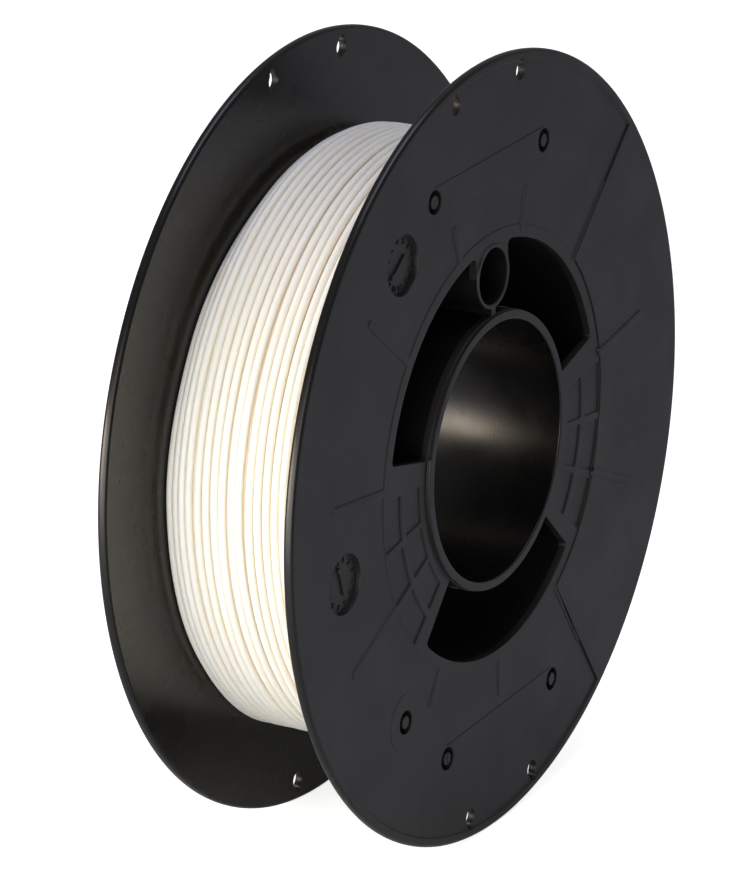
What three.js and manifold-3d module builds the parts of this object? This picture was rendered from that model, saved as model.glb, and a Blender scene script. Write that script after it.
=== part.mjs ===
// Filament spool for a 3-D printer: two identical moulded half spools, turned face to face, with the
// filament wound between them.
// Millimetres, +Z up. The spool stands on its two rims, the spindle axis lies along Y, and the
// origin is the centre of the spindle bore.
import * as THREE from 'three';
import { mergeVertices } from 'three/addons/utils/BufferGeometryUtils.js';
import Module from 'manifold-3d';

// ---- Driving dimensions ----
const flangeRadius = 80;
const widthOverRims = 42.8;
const flangeThickness = 2.0; // at the rim and at the raised sector
const panelDrop = 0.4; // how far the face inside the rim lies below the rim
const rimWidth = 1.8;
const edgeRound = 0.6;

const boreRadius = 26.4;
const hubWall = 2.0;
const collarRise = 0.5; // the hub tube's end stands proud of the rims
const barrelRadius = 45.2;
const barrelWall = 2.56;
const windingRadius = 62.0;
const windingShoulder = 1.8;

const eyeletCentre = 36.4; // distance from the spindle axis
const eyeletBore = 5.7;
const eyeletWall = 0.9;
const eyeletBridge = 1.6; // width of the web from the eyelet to the hub tube

const spoolTurn = 3; // degrees that the eyelet stands past the top
const gap = 0.3; // left between neighbouring solids

// Angles are in degrees from the eyelet line, counter-clockwise seen from outside.
const upperWindow = 75.5; // the upper window reaches this far to each side of the eyelet line
const lowerWindow = 44; // the lower window reaches this far to each side of the opposite line
const raisedSector = [-147.3, -49.1];
const webGrid = { start: 84.5, end: 130, columns: 3, rib: 2.2, rows: [[30.8, 36.8], [38.4, 44.8]], depth: 0.4 };
const rimHoles = { angles: [-10, 10, 170, 190], distance: 75.7, radius: 1.8, notch: 1.0, notchShift: 1.5 };
const dateDials = { angles: [35.4, 96.4], distance: 60.3, radius: 6, depth: 0.8 };

// ---- Derived dimensions ----
const rimFace = widthOverRims / 2;
const innerFace = rimFace - flangeThickness;
const panelFace = rimFace - panelDrop;
const hubRadius = boreRadius + hubWall;
const barrelBore = barrelRadius - barrelWall;
const eyeletRadius = eyeletBore + eyeletWall;

// ---- Facets on round shapes ----
const rimFacets = 120;
const tubeFacets = 60;
const smallFacets = 24;
const holeFacets = 12;

const wasm = await Module();
wasm.setup();

const spoolPlastic = new THREE.MeshStandardMaterial({ color: 0x2b2b2e, roughness: 0.5, metalness: 0 });
const filamentPlastic = new THREE.MeshStandardMaterial({ color: 0xf6f2e4, roughness: 0.35, metalness: 0 });

// ---- Solids ----

function toSolid(geometry) {
  geometry.deleteAttribute('normal');
  geometry.deleteAttribute('uv');
  const merged = mergeVertices(geometry, 1e-4);
  const vertProperties = new Float32Array(merged.attributes.position.array);
  const triVerts = new Uint32Array(merged.index.array);
  return new wasm.Manifold(new wasm.Mesh({ numProp: 3, vertProperties, triVerts }));
}

function toMesh(name, solid, material) {
  const { vertProperties, triVerts } = solid.getMesh();
  const geometry = new THREE.BufferGeometry();
  geometry.setAttribute('position', new THREE.BufferAttribute(vertProperties, 3));
  geometry.setIndex(new THREE.BufferAttribute(triVerts, 1));
  geometry.computeVertexNormals();
  const mesh = new THREE.Mesh(geometry, material);
  mesh.name = name;
  return mesh;
}

// A ring turned about Z from [radius, z] corners, which go round the section counter-clockwise.
// Its facets are centred on the -Y direction, so the spool rests on flats.
function ring(corners, facets) {
  const section = [...corners, corners[0]].map(([radius, z]) => new THREE.Vector2(radius, z));
  const lathe = new THREE.LatheGeometry(section, facets, Math.PI / facets);
  return toSolid(lathe.rotateX(Math.PI / 2));
}

function tube(bore, radius, from, to, facets) {
  return ring([[bore, from], [radius, from], [radius, to], [bore, to]], facets);
}

// A flat shape in the XY plane, made thick from one height to another.
function plate(shape, from, to, curveSegments) {
  const geometry = new THREE.ExtrudeGeometry(shape, { depth: to - from, bevelEnabled: false, curveSegments });
  return toSolid(geometry.translate(0, 0, from));
}

// A disc standing at a distance from the axis, on an angle from the eyelet line.
function disc(distance, angle, radius, from, to, facets) {
  const cylinder = new THREE.CylinderGeometry(radius, radius, to - from, facets);
  cylinder.rotateX(Math.PI / 2).translate(0, distance, (from + to) / 2);
  return toSolid(cylinder.rotateZ(THREE.MathUtils.degToRad(angle)));
}

// Part of a ring between two angles from the eyelet line.
function sector(inner, outer, startAngle, endAngle) {
  const start = THREE.MathUtils.degToRad(startAngle + 90);
  const end = THREE.MathUtils.degToRad(endAngle + 90);
  const shape = new THREE.Shape();
  shape.absarc(0, 0, outer, start, end, false);
  shape.absarc(0, 0, inner, end, start, true);
  return shape;
}

function segmentsFor(startAngle, endAngle) {
  return Math.max(2, Math.round((endAngle - startAngle) / 12));
}

function cutSector(inner, outer, startAngle, endAngle, from, to) {
  return plate(sector(inner, outer, startAngle, endAngle), from, to, segmentsFor(startAngle, endAngle));
}

// ---- The half spool, with +Z pointing out of its face and +Y along the eyelet line ----

// What the flange keeps inside the upper window: the eyelet's ring, the block that joins it to the
// flange and the web that joins it to the hub tube.
function eyeletSurround() {
  const eyeletRing = disc(eyeletCentre, 0, eyeletRadius, innerFace, panelFace, smallFacets);
  const block = new THREE.Shape([
    new THREE.Vector2(-eyeletRadius, eyeletCentre + 0.6),
    new THREE.Vector2(eyeletRadius, eyeletCentre + 0.6),
    new THREE.Vector2(eyeletRadius + 0.2, barrelRadius),
    new THREE.Vector2(-eyeletRadius - 0.2, barrelRadius),
  ]);
  const bridge = new THREE.Shape([
    new THREE.Vector2(-eyeletBridge / 2, hubRadius + gap),
    new THREE.Vector2(eyeletBridge / 2, hubRadius + gap),
    new THREE.Vector2(eyeletBridge / 2, eyeletCentre - eyeletBore),
    new THREE.Vector2(-eyeletBridge / 2, eyeletCentre - eyeletBore),
  ]);
  return eyeletRing.add(plate(block, innerFace, panelFace, 1)).add(plate(bridge, innerFace, panelFace, 1));
}

function windows() {
  const from = innerFace - 1;
  const to = rimFace + 1;
  const inner = hubRadius + gap / 2;
  const upper = cutSector(inner, barrelBore, -upperWindow, upperWindow, from, to);
  const lower = cutSector(inner, barrelBore, 180 - lowerWindow, 180 + lowerWindow, from, to);
  return upper.subtract(eyeletSurround()).add(lower);
}

function webCells() {
  const { start, end, columns, rib, rows, depth } = webGrid;
  const pitch = (end - start + rib) / columns;
  const cells = [];
  for (const side of [-1, 1]) {
    for (let column = 0; column < columns; column += 1) {
      const near = start + column * pitch;
      const angles = [side * near, side * (near + pitch - rib)].sort((a, b) => a - b);
      for (const [inner, outer] of rows) {
        cells.push(cutSector(inner, outer, ...angles, panelFace - depth, rimFace + 1));
      }
    }
  }
  return cells;
}

function rimHoleCuts() {
  const { angles, distance, radius, notch, notchShift } = rimHoles;
  const span = [innerFace - 1, rimFace + 1];
  return angles.flatMap((angle) => [
    disc(distance, angle, radius, ...span, holeFacets),
    disc(distance + notchShift, angle, notch, ...span, holeFacets),
  ]);
}

function dialRecesses() {
  const { angles, distance, radius, depth } = dateDials;
  return angles.map((angle) => disc(distance, angle, radius, panelFace - depth, rimFace + 1, smallFacets));
}

function flange() {
  const rimInside = flangeRadius - rimWidth;
  const base = ring([
    [hubRadius + gap, innerFace],
    [flangeRadius - edgeRound, innerFace],
    [flangeRadius, innerFace + edgeRound],
    [flangeRadius, rimFace - edgeRound],
    [flangeRadius - edgeRound, rimFace],
    [rimInside, rimFace],
    [rimInside - panelDrop, panelFace],
    [hubRadius + gap, panelFace],
  ], rimFacets);
  const raised = cutSector(barrelRadius, rimInside + 0.5, ...raisedSector, innerFace + 0.5, rimFace);
  const eyeletHole = disc(eyeletCentre, 0, eyeletBore, innerFace - 1, rimFace + 1, smallFacets);
  const cuts = [windows(), eyeletHole, ...webCells(), ...rimHoleCuts(), ...dialRecesses()];
  return cuts.reduce((solid, cut) => solid.subtract(cut), base.add(raised));
}

function hubTube() {
  return tube(boreRadius, hubRadius, gap / 2, rimFace + collarRise, tubeFacets);
}

function barrel() {
  return tube(barrelBore, barrelRadius, gap / 2, innerFace - gap, tubeFacets);
}

// The eyelet's tube behind the flange, open where the barrel's wall closes it.
function driveEyelet() {
  const outside = disc(eyeletCentre, 0, eyeletRadius, gap / 2, innerFace - gap, smallFacets);
  const hole = disc(eyeletCentre, 0, eyeletBore, -1, rimFace, smallFacets);
  const clearance = tube(barrelBore - gap, barrelRadius, -1, rimFace, tubeFacets);
  return outside.subtract(hole).subtract(clearance);
}

function halfSpool(side) {
  const half = new THREE.Group();
  half.add(toMesh(`${side}_flange`, flange(), spoolPlastic));
  half.add(toMesh(`${side}_hub_tube`, hubTube(), spoolPlastic));
  half.add(toMesh(`${side}_barrel`, barrel(), spoolPlastic));
  half.add(toMesh(`${side}_drive_eyelet`, driveEyelet(), spoolPlastic));
  half.rotation.x = Math.PI / 2; // its face points along -Y
  return half;
}

// The whole winding as one solid: the barrel's length between the flanges, with soft shoulders.
function filamentWinding() {
  const end = innerFace - gap;
  const winding = ring([
    [barrelRadius + gap, -end],
    [windingRadius - windingShoulder, -end],
    [windingRadius, -end + windingShoulder],
    [windingRadius, end - windingShoulder],
    [windingRadius - windingShoulder, end],
    [barrelRadius + gap, end],
  ], tubeFacets);
  const mesh = toMesh('filament_winding', winding, filamentPlastic);
  mesh.rotation.x = Math.PI / 2;
  return mesh;
}

// ---- Assembly ----

const front = halfSpool('front');
const back = new THREE.Group();
back.add(halfSpool('back'));
back.rotation.z = Math.PI; // the same moulding, turned about the eyelet line to face the other way

const spool = new THREE.Group();
spool.name = 'filament_spool';
spool.add(front, back, filamentWinding());
spool.rotation.y = -THREE.MathUtils.degToRad(spoolTurn);

export default spool;
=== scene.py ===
import math
import random

import bpy
from mathutils import Matrix, Vector


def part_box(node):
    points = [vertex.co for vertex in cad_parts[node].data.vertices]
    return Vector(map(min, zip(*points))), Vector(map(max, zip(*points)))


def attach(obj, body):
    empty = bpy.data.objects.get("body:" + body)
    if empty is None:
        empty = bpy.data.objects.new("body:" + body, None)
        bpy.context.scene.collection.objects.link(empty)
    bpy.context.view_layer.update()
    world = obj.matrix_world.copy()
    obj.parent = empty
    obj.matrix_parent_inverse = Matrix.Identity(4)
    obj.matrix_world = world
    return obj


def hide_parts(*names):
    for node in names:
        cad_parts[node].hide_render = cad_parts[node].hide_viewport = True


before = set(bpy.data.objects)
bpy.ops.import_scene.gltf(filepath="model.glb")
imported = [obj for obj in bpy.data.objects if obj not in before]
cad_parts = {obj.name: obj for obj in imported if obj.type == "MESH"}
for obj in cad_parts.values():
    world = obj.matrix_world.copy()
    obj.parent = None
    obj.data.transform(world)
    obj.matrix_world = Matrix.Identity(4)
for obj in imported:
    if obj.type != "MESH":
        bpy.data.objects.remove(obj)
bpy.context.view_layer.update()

METRES = 0.001                    # in a millimetre
TAU = 2 * math.pi

# ---------------------------------------------------------------------------------------------
# Sizes, in millimetres. The main ones come from the frame, the rest are set against them.
# ---------------------------------------------------------------------------------------------


def frame_box(node):
    """The lowest and highest corners of a CAD node, in millimetres."""
    return [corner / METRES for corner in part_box(node)]


flange_low, flange_high = frame_box("front_flange")
hub_low, hub_high = frame_box("front_hub_tube")
_, barrel_high = frame_box("front_barrel")
_, winding_high = frame_box("filament_winding")

FLANGE_RADIUS = round(flange_high.x, 1)
RIM_FACE = -flange_low.y
INNER_FACE = -flange_high.y
COLLAR_FACE = -hub_low.y
HUB_RADIUS = round(hub_high.x, 1)
BARREL_RADIUS = round(barrel_high.x, 1)
WINDING_RADIUS = round(winding_high.x, 1)

HUB_WALL = 2.0
BORE_RADIUS = HUB_RADIUS - HUB_WALL
BARREL_WALL = 2.56
BARREL_BORE = BARREL_RADIUS - BARREL_WALL
PANEL_FACE = RIM_FACE - 0.4      # the face inside the rim
HUB_FACE = PANEL_FACE + 0.14     # the face round the windows
RIM_WIDTH = 1.8

EYELET_CENTRE = 36.4             # from the spindle axis
EYELET_BORE = 5.7
EYELET_RADIUS = 6.6
EYELET_BRIDGE = 1.6
SPOOL_TURN = math.radians(3)          # the eyelet stands this far past the top

EMBED = 0.5                      # how deep a raised detail reaches into the face
CLEAR = 1.5                      # how far a cutter stands out of the face

# Angles from the eyelet line, in degrees, counter-clockwise seen from outside.
UPPER_WINDOW = (-75.5, 75.5)
LOWER_WINDOW = (136, 224)
RAISED_SECTOR = (-147.3, -49.1)
RIBS = 11
LONG_RIBS = (1, 2, 3, 6, 7, 8, 9)     # counted from the first one past the eyelet line
RIB_START = BARREL_RADIUS - 0.6       # distances from the axis
LONG_RIB_END = 64
SHORT_RIB_END = 53
RIB_WIDTH = 1.8
RIB_RISE = 0.22
WEB_CELLS = (84.5, 130)
WEB_COLUMNS = 3
WEB_ROWS = ((30.8, 36.8), (38.4, 44.8))
WEB_RIB = 2.2                         # degrees between two columns
WEB_DEPTH = 0.34
RIM_HOLES = (-10, 10, 170, 190)
RIM_HOLE = (75.7, 1.76)               # distance and radius, of the hole and of its notch
RIM_HOLE_NOTCH = (77.2, 1.05)
LABEL_LINES = (0, 180)
LABEL_WIDTH = 5.9
LABEL_RISE = 0.16
INSERT_SPREAD = 21                    # the insert marks stand this far to each side of a label
INSERT_RADIUS = 62.1
DISC_MARK = (58.2, 138.6)             # its place
DISC_RADIUS = 6
DISC_RISE = 0.12
RING_INSIDE = 1.3                     # the groove of an insert mark
RING_OUTSIDE = 2.4
RING_DEPTH = 1.3
DATE_DIALS = ((35.4, 124), (96.4, 16))    # place and the way its arrow points
DIAL_CENTRE = 60.3
DIAL_RADIUS = 5.96
DIAL_DEPTH = 1.0
ARROW_LENGTH = 5.2
ARROW_WIDTH = 0.5
ARROW_RISE = 0.42                     # over the dial's floor
ARROW_DOT = (3.1, 0.62)               # distance from the dial's centre and radius
NUMBERS = 12
NUMBER_HEIGHT = 1.6
NUMBER_CIRCLE = 4.55


# ---------------------------------------------------------------------------------------------
# Camera
# ---------------------------------------------------------------------------------------------

CAMERA_AZIMUTH = math.radians(-60.3)
CAMERA_ELEVATION = math.radians(17.9)
CAMERA_DISTANCE = 972.9
CAMERA_ASIDE = -6.2
CAMERA_RAISE = -0.3


def make_camera():
    flat = math.cos(CAMERA_ELEVATION)
    back = Vector((math.sin(CAMERA_AZIMUTH) * flat, -math.cos(CAMERA_AZIMUTH) * flat,
                   math.sin(CAMERA_ELEVATION)))
    right = Vector((math.cos(CAMERA_AZIMUTH), math.sin(CAMERA_AZIMUTH), 0))
    up = back.cross(right)
    data = bpy.data.cameras.new("camera")
    data.sensor_width = 36
    data.lens = 200.8
    data.clip_start = 0.05
    data.clip_end = 20
    camera = bpy.data.objects.new("camera", data)
    bpy.context.scene.collection.objects.link(camera)
    place = (back * CAMERA_DISTANCE + right * CAMERA_ASIDE + up * CAMERA_RAISE) * METRES
    turn = Matrix((right, up, back)).transposed().to_4x4()
    camera.matrix_world = Matrix.Translation(place) @ turn
    bpy.context.scene.camera = camera


make_camera()


# ---------------------------------------------------------------------------------------------
# Mesh tools. A half spool is built with +Z out of its face and +Y along the eyelet line.
# ---------------------------------------------------------------------------------------------

def mesh_object(name, verts, faces):
    mesh = bpy.data.meshes.new(name)
    mesh.from_pydata([tuple(v) for v in verts], [], faces)
    mesh.update()
    obj = bpy.data.objects.new(name, mesh)
    bpy.context.scene.collection.objects.link(obj)
    return obj


def on_face(radius, degrees):
    """The point of the face at a distance from the axis and an angle from the eyelet line."""
    a = math.radians(degrees + 90)
    return Vector((radius * math.cos(a), radius * math.sin(a)))


def soften(corners, steps=4):
    """The closed outline of (x, y, round) corners, each rounded to its own radius."""
    points = []
    count = len(corners)
    for i, (x, y, radius) in enumerate(corners):
        here = Vector((x, y))
        before = (Vector(corners[i - 1][:2]) - here).normalized()
        after = (Vector(corners[(i + 1) % count][:2]) - here).normalized()
        if radius == 0:
            points.append(here)
            continue
        half = before.angle(after) / 2
        middle = here + (before + after).normalized() * (radius / math.sin(half))
        first = (here + before * (radius / math.tan(half)) - middle).normalized()
        last = (here + after * (radius / math.tan(half)) - middle).normalized()
        for k in range(steps + 1):
            points.append(middle + first.slerp(last, k / steps) * radius)
    return points


def revolve(name, section, steps, centre=(0, 0)):
    """A closed (radius, z) section, counter-clockwise, turned about Z."""
    count = len(section)
    verts = []
    for i in range(steps):
        a = TAU * (i + 0.5) / steps
        for radius, z in section:
            verts.append((centre[0] + radius * math.cos(a), centre[1] + radius * math.sin(a), z))
    faces = []
    for i in range(steps):
        k = (i + 1) % steps
        for j in range(count):
            m = (j + 1) % count
            faces.append((i * count + j, k * count + j, k * count + m, i * count + m))
    return mesh_object(name, verts, faces)


def loft(name, outline, levels):
    """A solid through one outline at several heights; levels are (grow, z) from low to high."""
    verts = []
    for grow, z in levels:
        verts += [(p[0], p[1], z) for p in outline(grow)]
    count = len(verts) // len(levels)
    faces = [tuple(reversed(range(count)))]
    for i in range(len(levels) - 1):
        for j in range(count):
            m = (j + 1) % count
            faces.append((i * count + j, i * count + m, (i + 1) * count + m, (i + 1) * count + j))
    faces.append(tuple(range((len(levels) - 1) * count, len(levels) * count)))
    return mesh_object(name, verts, faces)


def raised(outline, top, soft):
    """A raised detail with a soft upper edge."""
    levels = [(0, top - EMBED), (0, top - soft), (-0.3 * soft, top - 0.3 * soft), (-soft, top)]
    return loft("raised", outline, levels)


def sunk(outline, floor, face, soft):
    """A cutter for a recess with a soft lip and a small fillet at its floor."""
    drop = min(soft, (face - floor) / 2)
    levels = [(-0.5 * soft, floor), (0, floor + 0.5 * drop), (0, face - drop)]
    levels += [(0.3 * soft, face - 0.3 * drop), (soft, face), (soft, face + CLEAR)]
    return loft("sunk", outline, levels)


def through(outline, low, high, soft):
    """A cutter for a hole through a plate, with a soft lip on both faces."""
    levels = [(soft, low - CLEAR), (soft, low), (0.3 * soft, low + 0.3 * soft), (0, low + soft)]
    levels += [(0, high - soft), (0.3 * soft, high - 0.3 * soft), (soft, high)]
    levels += [(soft, high + CLEAR)]
    return loft("through", outline, levels)


def circle(centre, radius, steps=48):
    """The outline of a round detail, wider by however much it is told to grow."""
    def outline(grow):
        reach = radius + grow
        angles = [TAU * i / steps for i in range(steps)]
        return [(centre[0] + reach * math.cos(a), centre[1] + reach * math.sin(a)) for a in angles]
    return outline


def bar(middle, length, width, degrees, corner):
    """A straight bar with rounded corners; its length runs at an angle from the eyelet line."""
    along = on_face(1, degrees)
    across = Vector((-along.y, along.x))
    corners = ((1, -1, -90), (1, 1, 0), (-1, 1, 90), (-1, -1, 180))

    def outline(grow):
        points = []
        for way, side, first in corners:
            x = way * (length / 2 - corner)
            y = side * (width / 2 - corner)
            for k in range(4):
                a = math.radians(first + 30 * k)
                far = corner + grow
                points.append(Vector(middle) + along * (x + far * math.cos(a))
                              + across * (y + far * math.sin(a)))
        return points
    return outline


def annular(inner, outer, start, end, corner, step=1.5):
    """Part of a ring between two angles from the eyelet line, with rounded corners."""
    lean_out = math.degrees(math.asin(corner / (outer - corner)))
    lean_in = math.degrees(math.asin(corner / (inner + corner)))
    count = max(2, round((end - start) / step))

    def outline(grow):
        points = []

        def turn(radius, angle, first, last):
            middle = on_face(radius, angle)
            for k in range(5):
                a = math.radians(first + (last - first) * k / 4)
                points.append(middle + Vector((math.cos(a), math.sin(a))) * (corner + grow))

        def arc(radius, first, last):
            for k in range(1, count):
                points.append(on_face(radius, first + (last - first) * k / count))

        turn(outer - corner, start + lean_out, start, start + lean_out + 90)
        arc(outer + grow, start + lean_out, end - lean_out)
        turn(outer - corner, end - lean_out, end - lean_out + 90, end + 180)
        turn(inner + corner, end - lean_in, end + 180, end - lean_in + 270)
        arc(inner - grow, end - lean_in, start + lean_in)
        turn(inner + corner, start + lean_in, start + lean_in + 270, start + 360)
        return points
    return outline


def combine(base, tool, operation):
    """Joins or cuts base with tool, and removes tool."""
    modifier = base.modifiers.new("combine", "BOOLEAN")
    modifier.operation = operation
    modifier.solver = "MANIFOLD"
    modifier.object = tool
    depsgraph = bpy.context.evaluated_depsgraph_get()
    made = bpy.data.meshes.new_from_object(base.evaluated_get(depsgraph))
    base.modifiers.clear()
    old = base.data
    base.data = made
    bpy.data.meshes.remove(old)
    bpy.data.objects.remove(tool)


def add(base, tool):
    combine(base, tool, "UNION")


def cut(base, tool):
    combine(base, tool, "DIFFERENCE")


# ---------------------------------------------------------------------------------------------
# The half spool
# ---------------------------------------------------------------------------------------------

def half_section():
    """Hub tube, flange and barrel in one turned section."""
    rim_inside = FLANGE_RADIUS - RIM_WIDTH
    return soften([
        (BORE_RADIUS, 0, 0),
        (HUB_RADIUS, 0, 0),
        (HUB_RADIUS, INNER_FACE, 0.5),
        (BARREL_BORE, INNER_FACE, 0.5),
        (BARREL_BORE, 0, 0),
        (BARREL_RADIUS, 0, 0),
        (BARREL_RADIUS, INNER_FACE, 0.6),
        (FLANGE_RADIUS, INNER_FACE, 0.75),
        (FLANGE_RADIUS, RIM_FACE, 0.75),
        (rim_inside, RIM_FACE, 0.14),
        (rim_inside - 0.3, PANEL_FACE, 0.2),
        (BARREL_RADIUS + 0.2, PANEL_FACE, 0.1),
        (BARREL_RADIUS - 0.1, HUB_FACE, 0.1),
        (HUB_RADIUS, HUB_FACE, 0.1),
        (HUB_RADIUS, COLLAR_FACE, 0.3),
        (BORE_RADIUS, COLLAR_FACE, 0.35),
    ])


def cut_windows(half):
    """The two large openings between the hub tube and the barrel."""
    inner = HUB_RADIUS - 0.02
    for start, end in (UPPER_WINDOW, LOWER_WINDOW):
        window = annular(inner, BARREL_BORE, start, end, 0.8)
        cut(half, through(window, INNER_FACE, HUB_FACE, 0.18))


def add_eyelet(half):
    """The drive eyelet: a tube through the upper window, blended into the flange and the hub."""
    centre = (0, EYELET_CENTRE)
    add(half, loft("tube", circle(centre, EYELET_RADIUS, 72),
                   [(0, 0), (0, HUB_FACE), (-0.15, HUB_FACE + 0.25)]))
    wide = EYELET_RADIUS
    block = soften([
        (-wide + 0.1, EYELET_CENTRE, 0),
        (wide - 0.1, EYELET_CENTRE, 0),
        (wide - 0.1, BARREL_BORE - 1.0, 0.9),
        (wide + 2.2, BARREL_BORE - 0.5, 0),
        (wide, BARREL_RADIUS - 0.8, 0),
        (-wide, BARREL_RADIUS - 0.8, 0),
        (-wide - 2.2, BARREL_BORE - 0.5, 0),
        (-wide + 0.1, BARREL_BORE - 1.0, 0.9),
    ])
    add(half, loft("block", lambda grow: block, [(0, INNER_FACE + 0.1), (0, HUB_FACE - 0.01)]))
    middle = (HUB_RADIUS + EYELET_CENTRE - EYELET_RADIUS) / 2
    bridge = bar((0, middle), EYELET_CENTRE - EYELET_BORE - BORE_RADIUS - 1.4, EYELET_BRIDGE, 0, 0.2)
    add(half, loft("bridge", bridge, [(0, 0), (0, HUB_FACE), (-0.15, HUB_FACE + 0.15)]))
    hole = circle(centre, EYELET_BORE, 72)
    top = HUB_FACE + 0.25
    cut(half, loft("hole", hole, [(0, -CLEAR), (0, top - 0.2), (0.2, top), (0.2, top + CLEAR)]))


def add_raised_sector(half):
    """The part of the face that stands as high as the rim."""
    outer = FLANGE_RADIUS - 1.0
    sector = annular(BARREL_RADIUS + 0.1, outer, *RAISED_SECTOR, 0.3)
    add(half, raised(sector, RIM_FACE - 0.004, 0.14))


def add_ribs(half):
    """Shallow radial ribs, which start under the step round the windows."""
    for k in range(RIBS):
        degrees = (k + 0.5) * 360 / RIBS
        outer = LONG_RIB_END if k in LONG_RIBS else SHORT_RIB_END
        within = RAISED_SECTOR[0] + 1 < degrees - 360 < RAISED_SECTOR[1] - 1
        face = RIM_FACE if within else PANEL_FACE
        middle = on_face((RIB_START + outer) / 2, degrees)
        rib = bar(middle, outer - RIB_START, RIB_WIDTH, degrees, 0.3)
        add(half, raised(rib, face + RIB_RISE, 0.32))


def cut_web_cells(half):
    """The waffle of shallow cells on the two solid webs."""
    start, end = WEB_CELLS
    pitch = (end - start + WEB_RIB) / WEB_COLUMNS
    for side in (-1, 1):
        for column in range(WEB_COLUMNS):
            near = start + column * pitch
            angles = sorted((side * near, side * (near + pitch - WEB_RIB)))
            for inner, outer in WEB_ROWS:
                cell = annular(inner, outer, *angles, 0.35)
                cut(half, sunk(cell, HUB_FACE - WEB_DEPTH, HUB_FACE, 0.34))


def cut_rim_holes(half):
    """The holes at the rim that the filament's end is tucked into, each with a pinch notch."""
    for degrees in RIM_HOLES:
        for distance, radius in (RIM_HOLE, RIM_HOLE_NOTCH):
            hole = circle(on_face(distance, degrees), radius, 36)
            cut(half, through(hole, INNER_FACE, PANEL_FACE, 0.12))


def cut_ring_mark(half, place, face):
    """The imprint of a mould insert's screw: a ring groove round a small island."""
    lip = 0.15
    section = soften([
        (RING_INSIDE, face - RING_DEPTH, 0.05),
        (RING_OUTSIDE, face - RING_DEPTH, 0.05),
        (RING_OUTSIDE, face - 0.1, 0),
        (RING_OUTSIDE + lip, face + 0.002, 0),
        (RING_OUTSIDE + lip, face + CLEAR, 0),
        (RING_INSIDE - lip, face + CLEAR, 0),
        (RING_INSIDE - lip, face + 0.002, 0),
        (RING_INSIDE, face - 0.1, 0),
    ], 2)
    cut(half, revolve("ring", section, 48, place))


def add_labels(half):
    """Two plain label strips, each between two insert marks, and one mark on a disc."""
    for line in LABEL_LINES:
        marks = [on_face(INSERT_RADIUS, line + side * INSERT_SPREAD) for side in (-1, 1)]
        middle = (marks[0] + marks[1]) / 2
        length = (marks[0] - marks[1]).length
        strip = bar(middle, length, LABEL_WIDTH, line + 90, 0.5)
        add(half, raised(strip, PANEL_FACE + LABEL_RISE, 0.25))
        for place in marks:
            cut_ring_mark(half, place, PANEL_FACE + LABEL_RISE)
    place = on_face(*DISC_MARK)
    add(half, raised(circle(place, DISC_RADIUS, 72), PANEL_FACE + DISC_RISE, 0.2))
    cut_ring_mark(half, place, PANEL_FACE + DISC_RISE)


def make_dial(half, degrees, points):
    """A date dial: a recess with its arrow and the dot at the arrow's tip; the numbers round its edge
    are made by dial_numbers.
    """
    centre = on_face(DIAL_CENTRE, degrees)
    floor = PANEL_FACE - DIAL_DEPTH
    cut(half, sunk(circle(centre, DIAL_RADIUS, 96), floor, PANEL_FACE, 0.12))
    arrow = bar(centre, ARROW_LENGTH, ARROW_WIDTH, points, 0.1)
    add(half, raised(arrow, floor + ARROW_RISE, 0.08))
    distance, radius = ARROW_DOT
    tip = centre + on_face(distance, points)
    add(half, raised(circle(tip, radius, 20), floor + ARROW_RISE, 0.1))


def dial_numbers():
    """The raised numbers 1 to 12 round each dial, in one mesh."""
    verts, faces = [], []
    for degrees, points in DATE_DIALS:
        centre = on_face(DIAL_CENTRE, degrees)
        for number in range(1, NUMBERS + 1):
            angle = points - 360 / NUMBERS * number
            curve = bpy.data.curves.new("number", "FONT")
            curve.body = str(number)
            curve.size = NUMBER_HEIGHT
            curve.extrude = 0.12
            curve.resolution_u = 2
            curve.align_x = "CENTER"
            curve.align_y = "CENTER"
            text = bpy.data.objects.new("number", curve)
            mesh = text.to_mesh()
            place = centre + on_face(NUMBER_CIRCLE, angle)
            turn = Matrix.Rotation(math.radians(angle), 4, "Z")
            lift = Matrix.Translation((place.x, place.y, PANEL_FACE - DIAL_DEPTH + 0.1))
            first = len(verts)
            verts += [lift @ turn @ v.co for v in mesh.vertices]
            faces += [tuple(first + i for i in p.vertices) for p in mesh.polygons]
            text.to_mesh_clear()
            bpy.data.objects.remove(text)
            bpy.data.curves.remove(curve)
    return mesh_object("front_dial_numbers", verts, faces)


def make_moulding():
    """One whole half spool, in millimetres, with its face up."""
    half = revolve("front_half_spool", half_section(), 288)
    cut_windows(half)
    add_eyelet(half)
    add_raised_sector(half)
    add_ribs(half)
    cut_web_cells(half)
    add_labels(half)
    cut_rim_holes(half)
    for degrees, points in DATE_DIALS:
        make_dial(half, degrees, points)
    return half


def set_in_spool(half, turned_over):
    """Brings a half's mesh to its place in the spool, in metres."""
    turn = Matrix.Rotation(-SPOOL_TURN, 4, "Y")
    if turned_over:
        turn = turn @ Matrix.Rotation(math.pi, 4, "Z")
    half.data.transform(Matrix.Scale(METRES, 4) @ turn @ Matrix.Rotation(math.pi / 2, 4, "X"))
    half.data.update()


def smooth(obj, degrees=35):
    """Soft shading that keeps the edges sharper than an angle."""
    obj.data.shade_smooth()
    obj.data.set_sharp_from_angle(angle=math.radians(degrees))
    weighted = obj.modifiers.new("weighted", "WEIGHTED_NORMAL")
    weighted.keep_sharp = True
    weighted.weight = 90


def both_halves(front):
    """The same piece twice: once facing forward, once turned over about the eyelet line."""
    back = front.copy()
    back.data = front.data.copy()
    back.name = front.name.replace("front", "back")
    bpy.context.scene.collection.objects.link(back)
    set_in_spool(front, False)
    set_in_spool(back, True)
    for piece in (front, back):
        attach(piece, "root")
    return front, back


# Material slots. The coarse and polished finishes have darker base colours that are partly painted
# shade.
SATIN, POLISHED_AND_SHADED, COARSE_PAINTED_SHADE = range(3)


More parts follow.
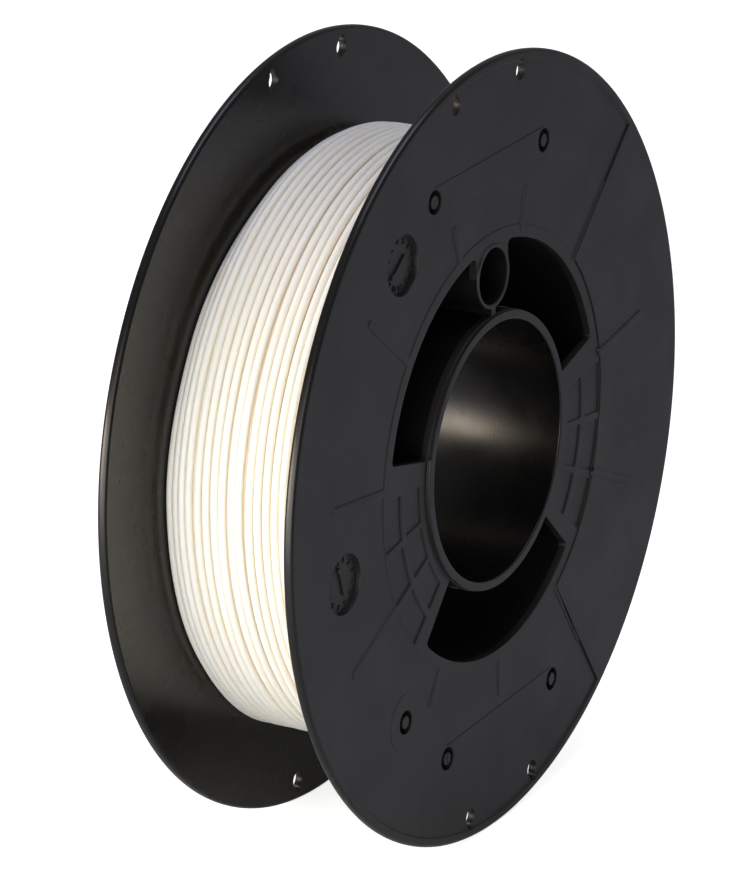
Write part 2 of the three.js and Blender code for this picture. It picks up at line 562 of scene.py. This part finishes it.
def finish_zones(half):
    """Marks which faces the mould's grained, polished and coarse areas made; the coarse hollow and
    the polished faces also carry painted shade in their darker colours.
    """
    for face in half.data.polygons:
        reach = math.hypot(face.center.x, face.center.y)
        outside = face.center.z > PANEL_FACE - DIAL_DEPTH - 0.1
        grained = outside and BORE_RADIUS + 0.5 < reach < FLANGE_RADIUS - 0.7
        # The hollow inside the hub gets the coarse material, whose near-black colour is painted
        # shade.
        hollow = face.center.z < INNER_FACE + 0.3 and HUB_RADIUS - 0.3 < reach < BARREL_BORE + 0.3
        face.material_index = SATIN if grained else COARSE_PAINTED_SHADE if hollow else POLISHED_AND_SHADED


# ---------------------------------------------------------------------------------------------
# The winding: the drum of inner layers, one full layer of strands and the loose outer layer
# ---------------------------------------------------------------------------------------------

STRAND = 1.75                         # its thickness
LAYER_RISE = 0.8                      # the outer strands lie well down between the inner ones
DRUM_DROP = 1.9                       # from the crest of the winding to the drum
END_CLEAR = 0.12                      # between the last strand and the flange
INNER_STRANDS = 22
VALLEY = 1.4                          # a valley this deep has the full painted warm glow
TURN_STEPS = 180
STRAND_SIDES = 12
DRUM_STEPS = 24

TOP_CLEAR = 0.2                       # the crest stays this far under the frame's winding
TOP_SWAY = 0.25                       # and it is this far out of round, towards TOP_SIDE
TOP_SIDE = 250
BACK_START = 10.5                     # the crest begins to fall here towards the back flange,
BACK_RUN = 8.4                        # over this length,
BACK_FALL = 6.2                       # by this much where the corner is empty
FRONT_START = 15.5                    # and the same towards the front flange
FRONT_RUN = 3.5
FRONT_FALL = 0.9

# How far the winding has filled its corner at the back flange, at angles round the axle: 0 where
# the last strands still lie low, 1 where they have climbed to the top.
BACK_FILL = ((0, 0.9), (50, 0.8), (74, 0.62), (92, 0.12), (118, 0.0), (150, 0.22), (182, 0.5),
             (215, 0.66), (250, 1.0), (300, 1.0), (360, 0.9))

# Gaps between neighbouring strands of the outer layer, from the front flange to the back one,
# beyond the strands' own thickness.
OUTER_GAPS = (0.10, 0.34, 0.05, 0.16, 0.62, 0.10, 0.28, 0.06, 0.08, 0.52, 0.04, 0.10, 0.07, 0.26,
              0.05, 0.34, 0.06, 0.08, 0.30)
STRAYS = (2, 3, 9)                    # outer strands that wander the most


def smooth_step(t):
    t = min(1, max(0, t))
    return t * t * (3 - 2 * t)


def back_fill(degrees):
    """How full the back corner is at an angle round the axle."""
    for (first, low), (last, high) in zip(BACK_FILL, BACK_FILL[1:]):
        if first <= degrees <= last:
            return low + (high - low) * smooth_step((degrees - first) / (last - first))
    return BACK_FILL[0][1]


def crest(y, degrees):
    """The winding's outer radius at a place along the axle and an angle round it."""
    top = WINDING_RADIUS - TOP_CLEAR + TOP_SWAY * math.cos(math.radians(degrees - TOP_SIDE))
    to_back = max(0, y - BACK_START) / BACK_RUN
    to_front = max(0, -FRONT_START - y) / FRONT_RUN
    back_drop = BACK_FALL * to_back ** 2 * (1 - back_fill(degrees % 360))
    return top - (back_drop + FRONT_FALL * to_front ** 2)


def wander(seed, size):
    """A slow closed wave round the winding, for strands that don't lie quite true."""
    chance = random.Random(seed)
    waves = [(k, size * chance.uniform(0.3, 1) / k, chance.uniform(0, TAU)) for k in (1, 2, 3, 5)]
    return lambda a: sum(w * math.sin(k * a + shift) for k, w, shift in waves)


def strand_turns():
    """Every visible turn as (y, depth under the crest, sideways wander, lift)."""
    end = INNER_FACE - END_CLEAR - STRAND / 2
    turns = []
    for k in range(INNER_STRANDS):
        y = -end + 2 * end * k / (INNER_STRANDS - 1)
        turns.append((y, STRAND / 2 + LAYER_RISE, wander(100 + k, 0.05), wander(200 + k, 0.03)))
    width = sum(OUTER_GAPS) + STRAND * len(OUTER_GAPS)
    squeeze = (2 * end - width) / len(OUTER_GAPS)
    y = -end
    for k, space in enumerate((*OUTER_GAPS, 0)):
        loose = 0.2 * math.sin(math.pi * k / len(OUTER_GAPS)) + (0.2 if k in STRAYS else 0)
        turns.append((y, STRAND / 2, wander(300 + k, loose), wander(400 + k, 0.05)))
        y += STRAND + space + squeeze
    return turns


def ring_mesh(turns):
    """Closed strands round the axle, in one mesh, and how deep each point lies, in valleys."""
    verts, faces, depths = [], [], []
    for y0, depth, aside, lift in turns:
        first = len(verts)
        for i in range(TURN_STEPS):
            a = TAU * i / TURN_STEPS
            y = y0 + aside(a)
            radius = crest(y, math.degrees(a)) - depth + lift(a)
            for j in range(STRAND_SIDES):
                b = TAU * j / STRAND_SIDES
                reach = radius + STRAND / 2 * math.cos(b)
                verts.append((reach * math.cos(a), y + STRAND / 2 * math.sin(b), reach * math.sin(a)))
                depths.append((crest(y, math.degrees(a)) - reach) / VALLEY)
        for i in range(TURN_STEPS):
            k = (i + 1) % TURN_STEPS
            for j in range(STRAND_SIDES):
                m = (j + 1) % STRAND_SIDES
                here, ahead = first + i * STRAND_SIDES, first + k * STRAND_SIDES
                faces.append((here + j, here + m, ahead + m, ahead + j))
    return verts, faces, depths


def drum_mesh():
    """The inner layers as one closed drum under the strands."""
    end = INNER_FACE - END_CLEAR
    along = [-end + 2 * end * k / DRUM_STEPS for k in range(DRUM_STEPS + 1)]
    verts, faces = [], []
    count = len(along) + 2
    for i in range(TURN_STEPS):
        a = TAU * i / TURN_STEPS
        section = [(BARREL_RADIUS + 0.1, end), (BARREL_RADIUS + 0.1, -end)]
        section += [(crest(y, math.degrees(a)) - DRUM_DROP, y) for y in along]
        for radius, y in section:
            verts.append((radius * math.cos(a), y, radius * math.sin(a)))
    for i in range(TURN_STEPS):
        k = (i + 1) % TURN_STEPS
        for j in range(count):
            m = (j + 1) % count
            faces.append((i * count + j, i * count + m, k * count + m, k * count + j))
    return verts, faces


def make_winding():
    """The strands and the drum, each with how deep in a valley its surface lies."""
    verts, faces, depths = ring_mesh(strand_turns())
    strands = mesh_object("filament_strands", verts, faces)
    drum = mesh_object("filament_drum", *drum_mesh())
    depths = [min(1, max(0, depth)) ** 2 for depth in depths]
    # The drum has the full painted warm glow all over: a warm sheet under the strands that paints the
    # light glowing between them.
    for obj, values in ((strands, depths), (drum, [1.0] * len(drum.data.vertices))):
        valley = obj.data.attributes.new("painted_glow_depth", "FLOAT", "POINT")
        valley.data.foreach_set("value", values)
        obj.data.transform(Matrix.Scale(METRES, 4))
        obj.data.shade_smooth()
        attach(obj, "root")
    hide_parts("filament_winding")
    return strands, drum


# ---------------------------------------------------------------------------------------------
# Materials
# ---------------------------------------------------------------------------------------------

def hex_colour(text):
    """An sRGB hex colour as linear RGBA."""
    values = [int(text[i:i + 2], 16) / 255 for i in (1, 3, 5)]
    return [v / 12.92 if v <= 0.04045 else ((v + 0.055) / 1.055) ** 2.4 for v in values] + [1]


def set_inputs(node, inputs):
    """Sets a node's sockets: an output is linked to its socket, anything else is its value."""
    for name, value in inputs.items():
        if isinstance(value, bpy.types.NodeSocket):
            node.id_data.links.new(value, node.inputs[name])
        else:
            node.inputs[name].default_value = value


def add_node(tree, kind, inputs=None, **settings):
    """Adds a node with its settings and links."""
    node = tree.nodes.new(kind)
    for name, value in settings.items():
        setattr(node, name, value)
    set_inputs(node, inputs or {})
    return node


def new_material(name):
    material = bpy.data.materials.new(name)
    material.use_nodes = True
    tree = material.node_tree
    place = add_node(tree, "ShaderNodeTexCoord").outputs["Object"]
    return material, tree, tree.nodes["Principled BSDF"], place


def per_metre(size):
    """The noise scale whose features are about a size in millimetres."""
    return 1000 / size


# A mix node's sockets, by number because their names repeat for each kind of value.
MIX_AMOUNT, MIX_LOW, MIX_HIGH = 0, 6, 7
MIX_COLOUR = 2

# A noise stays mostly within these two values, so they are stretched to 0 and 1.
NOISE = {"From Min": 0.3, "From Max": 0.7}

BUMP_HEIGHT = 0.1 * METRES
STYRENE_IOR = 1.55
PLA_IOR = 1.46


def satin_polystyrene():
    """High-impact polystyrene, black, moulded against a spark-eroded tool face.

    The fine even grain breaks reflections into a soft grey sheen, with slow clouds where the
    melt met the tool a little hotter or cooler. The real grain, about 0.05 mm, is drawn at
    0.45 mm so that it shows.
    """
    material, tree, shader, place = new_material("high-impact polystyrene, moulded, satin")
    clouds = add_node(tree, "ShaderNodeTexNoise", {"Vector": place, "Scale": per_metre(14),
                                                   "Detail": 3.0, "Roughness": 0.55})
    grain = add_node(tree, "ShaderNodeTexNoise", {"Vector": place, "Scale": per_metre(0.45),
                                                  "Detail": 2.0})
    patches = add_node(tree, "ShaderNodeMapRange", {"Value": clouds.outputs["Fac"], **NOISE})
    colour = add_node(tree, "ShaderNodeMix", {MIX_AMOUNT: patches.outputs["Result"],
                                              MIX_LOW: hex_colour("#171414"),
                                              MIX_HIGH: hex_colour("#1E1B1B")}, data_type="RGBA")
    sheen = add_node(tree, "ShaderNodeMapRange", {"Value": clouds.outputs["Fac"], **NOISE,
                                                  "To Min": 0.40, "To Max": 0.52})
    bump = add_node(tree, "ShaderNodeBump", {"Height": grain.outputs["Fac"], "Strength": 0.12,
                                             "Distance": BUMP_HEIGHT})
    set_inputs(shader, {"Base Color": colour.outputs[MIX_COLOUR],
                        "Roughness": sheen.outputs["Result"],
                        "Normal": bump.outputs["Normal"],
                        "IOR": STYRENE_IOR,
                        "Specular IOR Level": 0.4})
    return material


def polished_polystyrene():
    """The same polystyrene where the tool was polished, as a core has to let go of the part.

    Its base colour is blacker than the grained faces, partly painted shade for the bore and the
    faces between the flanges, and it carries blurred reflections of its surroundings, with faint
    lines round the bore from turning the core. They are about 0.1 mm apart, and are drawn 0.8 mm
    apart so that they show.
    """
    material, tree, shader, place = new_material("high-impact polystyrene, moulded, polished")
    clouds = add_node(tree, "ShaderNodeTexNoise", {"Vector": place, "Scale": per_metre(9),
                                                   "Detail": 3.0})
    line_scale = per_metre(0.8) * TAU / 20     # a wave texture has 20 radians in a unit of scale
    lines = add_node(tree, "ShaderNodeTexWave", {"Vector": place, "Scale": line_scale,
                                                 "Distortion": 0.6, "Detail": 0.0},
                     wave_type="BANDS", bands_direction="Y")
    patches = add_node(tree, "ShaderNodeMapRange", {"Value": clouds.outputs["Fac"], **NOISE})
    colour = add_node(tree, "ShaderNodeMix", {MIX_AMOUNT: patches.outputs["Result"],
                                              # A darker base than the satin faces: partly painted
                                              # shade for the bore and the faces between the flanges.
                                              MIX_LOW: hex_colour("#050505"),
                                              MIX_HIGH: hex_colour("#0A0909")}, data_type="RGBA")
    sheen = add_node(tree, "ShaderNodeMapRange", {"Value": clouds.outputs["Fac"], **NOISE,
                                                  "To Min": 0.24, "To Max": 0.32})
    bump = add_node(tree, "ShaderNodeBump", {"Height": lines.outputs["Fac"], "Strength": 0.02,
                                             "Distance": BUMP_HEIGHT})
    set_inputs(shader, {"Base Color": colour.outputs[MIX_COLOUR],
                        "Roughness": sheen.outputs["Result"],
                        "Normal": bump.outputs["Normal"],
                        "IOR": STYRENE_IOR,
                        "Specular IOR Level": 0.35})
    return material


def coarse_polystyrene():
    """The same polystyrene inside the hollow hub, where the tool was left as it was eroded.

    The walls are deep and rough, and their near-black base colour is painted shade, which darkens the
    hollow behind the windows.
    Their pits, about 0.3 mm, are drawn at 0.6 mm so that they show.
    """
    material, tree, shader, place = new_material("high-impact polystyrene, moulded, coarse")
    pits = add_node(tree, "ShaderNodeTexNoise", {"Vector": place, "Scale": per_metre(0.6),
                                                 "Detail": 2.0})
    patches = add_node(tree, "ShaderNodeMapRange", {"Value": pits.outputs["Fac"], **NOISE})
    # A near-black base colour: painted shade of the hollow hub.
    colour = add_node(tree, "ShaderNodeMix", {MIX_AMOUNT: patches.outputs["Result"],
                                              MIX_LOW: hex_colour("#030202"),
                                              MIX_HIGH: hex_colour("#080606")}, data_type="RGBA")
    sheen = add_node(tree, "ShaderNodeMapRange", {"Value": pits.outputs["Fac"], **NOISE,
                                                  "To Min": 0.6, "To Max": 0.75})
    bump = add_node(tree, "ShaderNodeBump", {"Height": pits.outputs["Fac"], "Strength": 0.3,
                                             "Distance": BUMP_HEIGHT})
    set_inputs(shader, {"Base Color": colour.outputs[MIX_COLOUR],
                        "Roughness": sheen.outputs["Result"],
                        "Normal": bump.outputs["Normal"],
                        "IOR": STYRENE_IOR,
                        "Specular IOR Level": 0.15})
    return material


def extruded_pla():
    """PLA filament in natural ivory, extruded and drawn.

    It is a milky plastic that lets some light in, and a drawn skin gives each strand one soft line
    of shine. The valleys between strands glow warm instead of going dark, and that glow is painted
    light: a warm yellow is mixed into the colour by how deep a point lies in a valley. Slight
    changes in tone run along the strands, about 45 mm long. The skin's unevenness, about 0.1 mm,
    is drawn at 0.6 mm so that it shows.
    """
    material, tree, shader, place = new_material("PLA filament, extruded, ivory")
    depth = add_node(tree, "ShaderNodeAttribute", attribute_name="painted_glow_depth")
    tones = add_node(tree, "ShaderNodeTexNoise", {"Vector": place, "Scale": per_metre(45),
                                                  "Detail": 1.0})
    grain = add_node(tree, "ShaderNodeTexNoise", {"Vector": place, "Scale": per_metre(0.6),
                                                  "Detail": 2.0})
    patches = add_node(tree, "ShaderNodeMapRange", {"Value": tones.outputs["Fac"], **NOISE})
    skin = add_node(tree, "ShaderNodeMix", {MIX_AMOUNT: patches.outputs["Result"],
                                            MIX_LOW: hex_colour("#F6F2E5"),
                                            MIX_HIGH: hex_colour("#F9F6EC")}, data_type="RGBA")
    # Painted light: the warm glow between strands, mixed in by valley depth.
    colour = add_node(tree, "ShaderNodeMix", {MIX_AMOUNT: depth.outputs["Fac"],
                                              MIX_LOW: skin.outputs[MIX_COLOUR],
                                              MIX_HIGH: hex_colour("#E6C27A")}, data_type="RGBA")
    sheen = add_node(tree, "ShaderNodeMapRange", {"Value": tones.outputs["Fac"], **NOISE,
                                                  "To Min": 0.38, "To Max": 0.5})
    bump = add_node(tree, "ShaderNodeBump", {"Height": grain.outputs["Fac"], "Strength": 0.015,
                                             "Distance": BUMP_HEIGHT})
    set_inputs(shader, {"Base Color": colour.outputs[MIX_COLOUR],
                        "Roughness": sheen.outputs["Result"],
                        "Normal": bump.outputs["Normal"],
                        "IOR": PLA_IOR,
                        "Subsurface Weight": 0.5,
                        "Subsurface Radius": (1.0, 0.8, 0.5),
                        "Subsurface Scale": 2.2 * METRES})
    return material


satin = satin_polystyrene()
# The polished and coarse materials are darker copies of the satin one: their base colours are partly
# painted shade.
polished = polished_polystyrene()
coarse = coarse_polystyrene()
pla = extruded_pla()


# ---------------------------------------------------------------------------------------------
# Assembly
# ---------------------------------------------------------------------------------------------

HALF_PARTS = ("flange", "hub_tube", "barrel", "drive_eyelet")

moulding = make_moulding()
moulding.data.materials.clear()
for finish in (satin, polished, coarse):
    moulding.data.materials.append(finish)
finish_zones(moulding)
halves = both_halves(moulding)
for side, half in zip(("front", "back"), halves):
    smooth(half)
    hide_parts(*[f"{side}_{part}" for part in HALF_PARTS])

numbers = dial_numbers()
numbers.data.materials.append(satin)
both_halves(numbers)

for piece in make_winding():
    piece.data.materials.append(pla)


# ---------------------------------------------------------------------------------------------
# Studio
# ---------------------------------------------------------------------------------------------

def soft_light(name, place, size, power, colour):
    """A soft box, as wide and high as its size says, that faces the spool."""
    data = bpy.data.lights.new(name, "AREA")
    data.shape = "RECTANGLE"
    data.size, data.size_y = size
    data.energy = power
    data.color = hex_colour(colour)[:3]
    light = bpy.data.objects.new(name, data)
    bpy.context.scene.collection.objects.link(light)
    light.location = place
    light.rotation_euler = (-Vector(place)).to_track_quat("-Z", "Y").to_euler()


def make_floor():
    """White paper under the spool, lit from below as far as the camera sees it."""
    corners = [(-4, -4, 0), (4, -4, 0), (4, 4, 0), (-4, 4, 0)]
    floor = mesh_object("floor", corners, [(0, 1, 2, 3)])
    floor.location.z = -FLANGE_RADIUS * METRES
    paper = bpy.data.materials.new("studio paper, matt white")
    paper.use_nodes = True
    tree = paper.node_tree
    seen = add_node(tree, "ShaderNodeLightPath").outputs["Is Camera Ray"]
    white = add_node(tree, "ShaderNodeMix", {MIX_AMOUNT: seen,
                                             MIX_LOW: hex_colour("#E4E4E4"),
                                             MIX_HIGH: hex_colour("#F2F2F2")}, data_type="RGBA")
    glow = add_node(tree, "ShaderNodeMath", {0: seen, 1: PAPER_GLOW}, operation="MULTIPLY")
    set_inputs(tree.nodes["Principled BSDF"], {"Base Color": white.outputs[MIX_COLOUR],
                                               "Roughness": 0.9,
                                               "Emission Color": WHITE,
                                               "Emission Strength": glow.outputs[0]})
    floor.data.materials.append(paper)


def make_backdrop():
    """A white surround that lights the spool more dimly than it looks."""
    world = bpy.data.worlds.new("studio")
    world.use_nodes = True
    tree = world.node_tree
    seen = add_node(tree, "ShaderNodeLightPath").outputs["Is Camera Ray"]
    strength = add_node(tree, "ShaderNodeMapRange", {"Value": seen, "To Min": SURROUND_LIGHT,
                                                     "To Max": 1.0})
    set_inputs(tree.nodes["Background"], {"Color": WHITE, "Strength": strength.outputs["Result"]})
    bpy.context.scene.world = world


WHITE = (1, 1, 1, 1)
PAPER_GLOW = 0.74
SURROUND_LIGHT = 0.25

make_floor()
make_backdrop()
soft_light("high on the left", (-1.7, -0.10, 0.25), (1.4, 1.4), 10, "#FFFDF8")
soft_light("low on the left", (-0.34, 0.02, -0.005), (0.5, 0.14), 0.85, "#FFFCF4")
soft_light("low behind the left", (-0.9, 0.62, 0.02), (0.4, 0.3), 4.6, "#FFE9CF")
soft_light("top", (0.1, 0.0, 1.8), (1.2, 1.2), 12, "#E2E2FF")
bpy.context.scene.view_settings.view_transform = "Standard"
